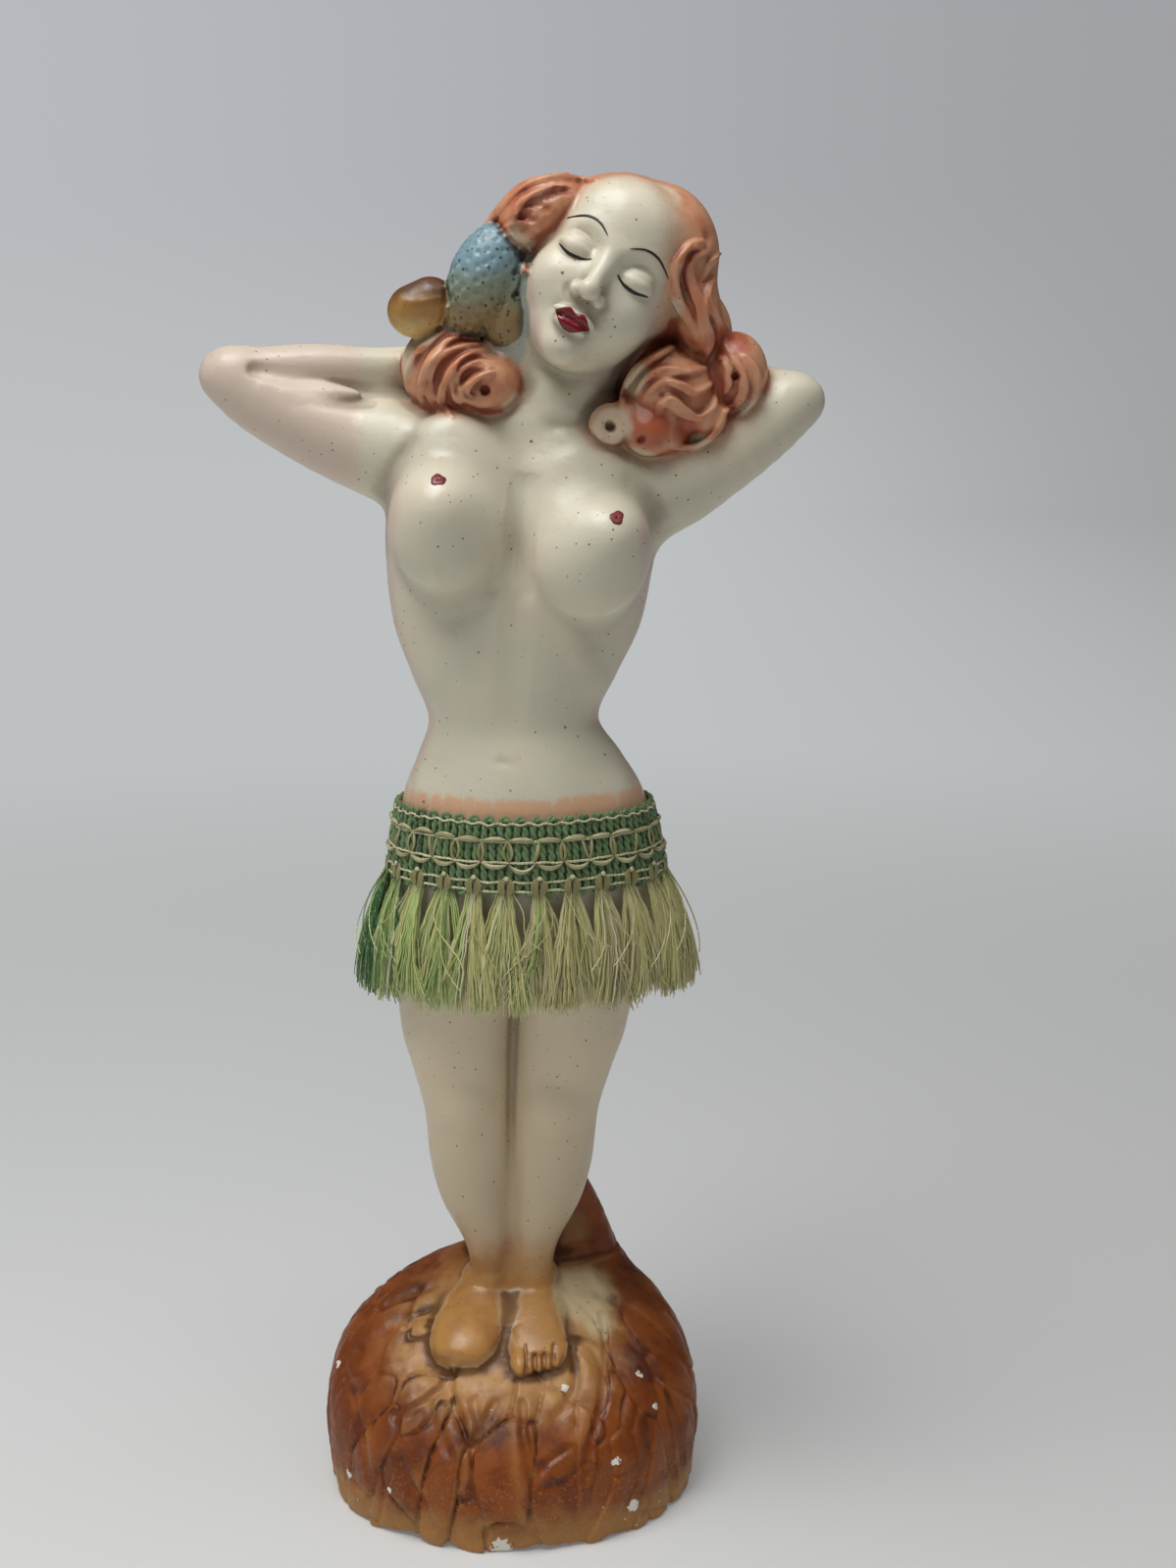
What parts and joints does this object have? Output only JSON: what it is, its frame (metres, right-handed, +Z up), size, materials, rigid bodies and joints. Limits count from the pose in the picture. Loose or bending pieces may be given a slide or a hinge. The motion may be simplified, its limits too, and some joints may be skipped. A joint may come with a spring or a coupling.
{
  "type": "chalkware figure",
  "caption": "Painted plaster dancer figure on a lumpy hollow mound, arms behind the head, with a woven trim band and hanging fringe worn as a skirt.",
  "frame": {"origin": "on the resting plane, under the middle of the mound", "axes": "+Z up along the figure, -Y towards the front of the figure, +X to the right seen from the front"},
  "size_m": [0.168, 0.092, 0.3806],
  "materials": {
    "painted_plaster": "satin airbrushed paint on cast plaster",
    "green_trim": "woven green cotton cord",
    "cream_thread": "shiny cream rayon thread",
    "fringe_rayon": "glossy yellow-green rayon strands"
  },
  "bodies": {
    "root": {"figure_casting": "painted_plaster", "skirt_band": "green_trim", "edge_thread": "cream_thread", "upper_cord": "cream_thread", "lower_cord": "cream_thread", "cord_links": "cream_thread", "hem_thread_upper": "cream_thread", "hem_thread_lower": "cream_thread", "tassel_ties": "cream_thread", "seam_stitches": "cream_thread", "tassel_01": "fringe_rayon", "tassel_02": "fringe_rayon", "tassel_03": "fringe_rayon", "tassel_04": "fringe_rayon", "tassel_05": "fringe_rayon", "tassel_06": "fringe_rayon", "tassel_07": "fringe_rayon", "tassel_08": "fringe_rayon", "tassel_09": "fringe_rayon", "tassel_10": "fringe_rayon", "tassel_11": "fringe_rayon", "tassel_12": "fringe_rayon", "tassel_13": "fringe_rayon", "tassel_14": "fringe_rayon", "tassel_15": "fringe_rayon", "tassel_16": "fringe_rayon", "tassel_17": "fringe_rayon", "tassel_18": "fringe_rayon", "tassel_19": "fringe_rayon", "tassel_20": "fringe_rayon", "tassel_21": "fringe_rayon", "tassel_22": "fringe_rayon", "tassel_23": "fringe_rayon", "tassel_24": "fringe_rayon"}
  },
  "joints": []
}
